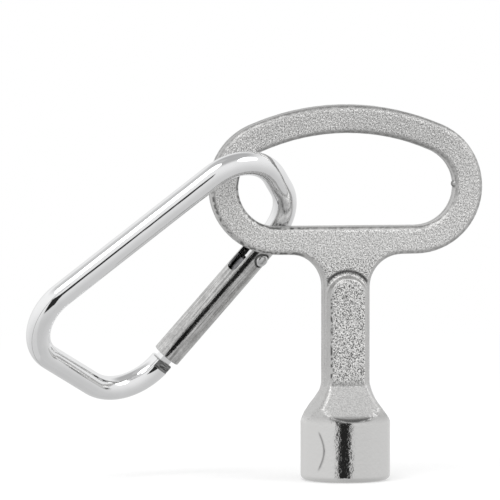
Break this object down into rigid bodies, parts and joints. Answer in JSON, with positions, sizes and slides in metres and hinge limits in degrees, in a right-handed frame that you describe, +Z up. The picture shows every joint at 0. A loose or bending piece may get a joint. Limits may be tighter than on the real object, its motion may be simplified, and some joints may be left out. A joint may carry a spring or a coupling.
{
  "type": "triangular socket service key",
  "caption": "Cast zinc service key with a D-loop handle and a female triangular socket, and a small spring-gate carabiner linked through the loop.",
  "frame": {"origin": "centre of the socket's mouth, on the end face of the barrel", "axes": "+Z up the stem towards the handle, +X to the right along the handle's width, -Y towards the front; the carabiner hangs on the -X side"},
  "size_m": [0.0721, 0.02, 0.0586],
  "materials": {
    "cast_zinc": "satin",
    "bright_aluminium": "polished",
    "brushed_gate": "satin",
    "rivet_steel": "polished",
    "plunger_steel": "satin",
    "spring_steel": "satin"
  },
  "bodies": {
    "key": {"key_body": "cast_zinc"},
    "carabiner": {"carabiner_body": "bright_aluminium", "hinge_rivet": "rivet_steel"},
    "gate": {"gate_sleeve": "brushed_gate", "gate_spring": "spring_steel"},
    "plunger": {"gate_plunger": "plunger_steel"}
  },
  "joints": [
    {"name": "carabiner_swing", "type": "hinge", "parent": "key", "child": "carabiner", "pos_m": [-0.01776, 0.00065, 0.04106], "axis": [0.7793, 0, 0.6266], "range_deg": [0, 90]},
    {"name": "gate_hinge", "type": "hinge", "parent": "carabiner", "child": "gate", "pos_m": [-0.01352, 0.00505, 0.03515], "axis": [-0.3901, 0.7826, 0.4851], "range_deg": [0, 28], "stiffness_Nm_per_rad": 0.02, "springref_deg": -20.05},
    {"name": "plunger_slide", "type": "slide", "parent": "gate", "child": "plunger", "axis": [-0.6364, 0.1517, -0.7563], "range_m": [0, 0.00039]}
  ],
  "couplings": [
    {"joint": "gate_hinge", "follows": "plunger_slide", "rad_per_m": 1250}
  ]
}
